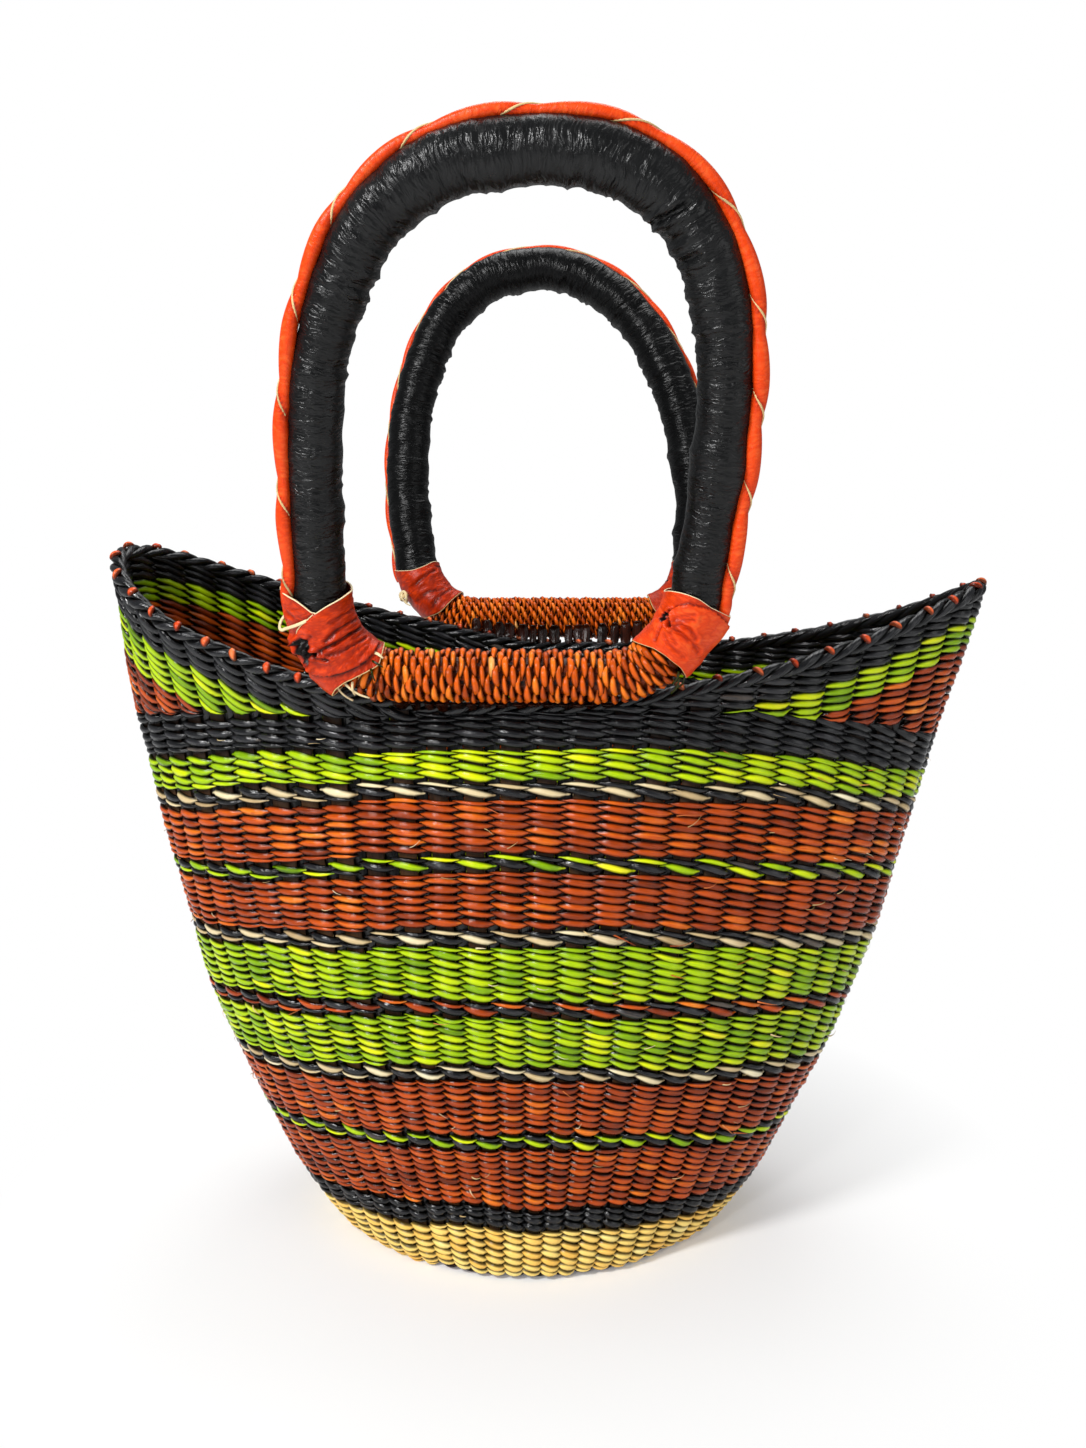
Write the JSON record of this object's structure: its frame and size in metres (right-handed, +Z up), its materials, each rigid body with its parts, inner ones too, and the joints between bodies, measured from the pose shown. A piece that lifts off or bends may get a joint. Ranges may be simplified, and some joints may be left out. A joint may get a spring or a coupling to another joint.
{
  "type": "twined grass handle basket",
  "caption": "Boat-shaped shopping basket of twined grass in coloured bands, with raised wings and a pair of leather-covered loop handles that swing on bars at the rim.",
  "frame": {"origin": "middle of the flat base, on the surface that the basket stands on", "axes": "+Z up through the open mouth, +X along the basket towards its lower wing, -Y towards the viewer of the picture, so the front handle is at -Y"},
  "size_m": [0.4289, 0.3188, 0.5316],
  "materials": {
    "base_grass": "twined grass, dyed dark rust",
    "straw_grass": "twined natural grass with a soft shine",
    "black_grass": "twined grass dyed black, with a soft shine",
    "rust_grass": "twined grass dyed rust, with a soft shine",
    "green_grass": "twined grass dyed lime green, with a soft shine",
    "coral_grass": "grass strand dyed coral",
    "green_black_twining": "one green and one black strand twined together",
    "cream_black_twining": "one cream and one black strand twined together",
    "rust_black_twining": "one rust and one black strand twined together",
    "black_leather": "soft goatskin dyed black, wrinkled across",
    "coral_leather": "thin goatskin dyed coral red, with pale cut edges",
    "thong_leather": "narrow undyed thong"
  },
  "bodies": {
    "basket": {"base_start": "base_grass", "stake_wall": "straw_grass", "natural_base_band": "straw_grass", "black_foot_band": "black_grass", "rust_band_1": "rust_grass", "green_black_line_1": "green_black_twining", "rust_band_2": "rust_grass", "cream_black_line_1": "cream_black_twining", "green_band_1": "green_grass", "rust_black_line": "rust_black_twining", "green_band_2": "green_grass", "cream_black_line_2": "cream_black_twining", "rust_band_3": "rust_grass", "green_black_line_2": "green_black_twining", "rust_band_4": "rust_grass", "cream_black_line_3": "cream_black_twining", "green_band_3": "green_grass", "black_shoulder_band": "black_grass", "rust_wing_right": "rust_grass", "green_wing_right": "green_grass", "rust_wing_left": "rust_grass", "green_wing_left": "green_grass", "rim_border": "black_grass", "rim_lacing": "coral_grass", "front_lashing": "rust_grass", "rear_lashing": "rust_grass"},
    "front_handle": {"front_handle_core": "straw_grass", "front_handle_cover": "black_leather", "front_bar_wrap": "rust_grass", "front_collar_left": "coral_leather", "front_collar_right": "coral_leather", "front_piping": "coral_leather", "front_thong_loop": "thong_leather"},
    "rear_handle": {"rear_handle_core": "straw_grass", "rear_handle_cover": "black_leather", "rear_bar_wrap": "rust_grass", "rear_collar_left": "coral_leather", "rear_collar_right": "coral_leather", "rear_piping": "coral_leather", "rear_thong_knot": "thong_leather"}
  },
  "joints": [
    {"name": "front_handle_swing", "type": "hinge", "parent": "basket", "child": "front_handle", "pos_m": [-0.0033, -0.096, 0.3011], "axis": [1, 0, 0], "range_deg": [-35, 130]},
    {"name": "rear_handle_swing", "type": "hinge", "parent": "basket", "child": "rear_handle", "pos_m": [0.0104, 0.096, 0.3103], "axis": [-1, 0, 0], "range_deg": [-35, 130]}
  ]
}
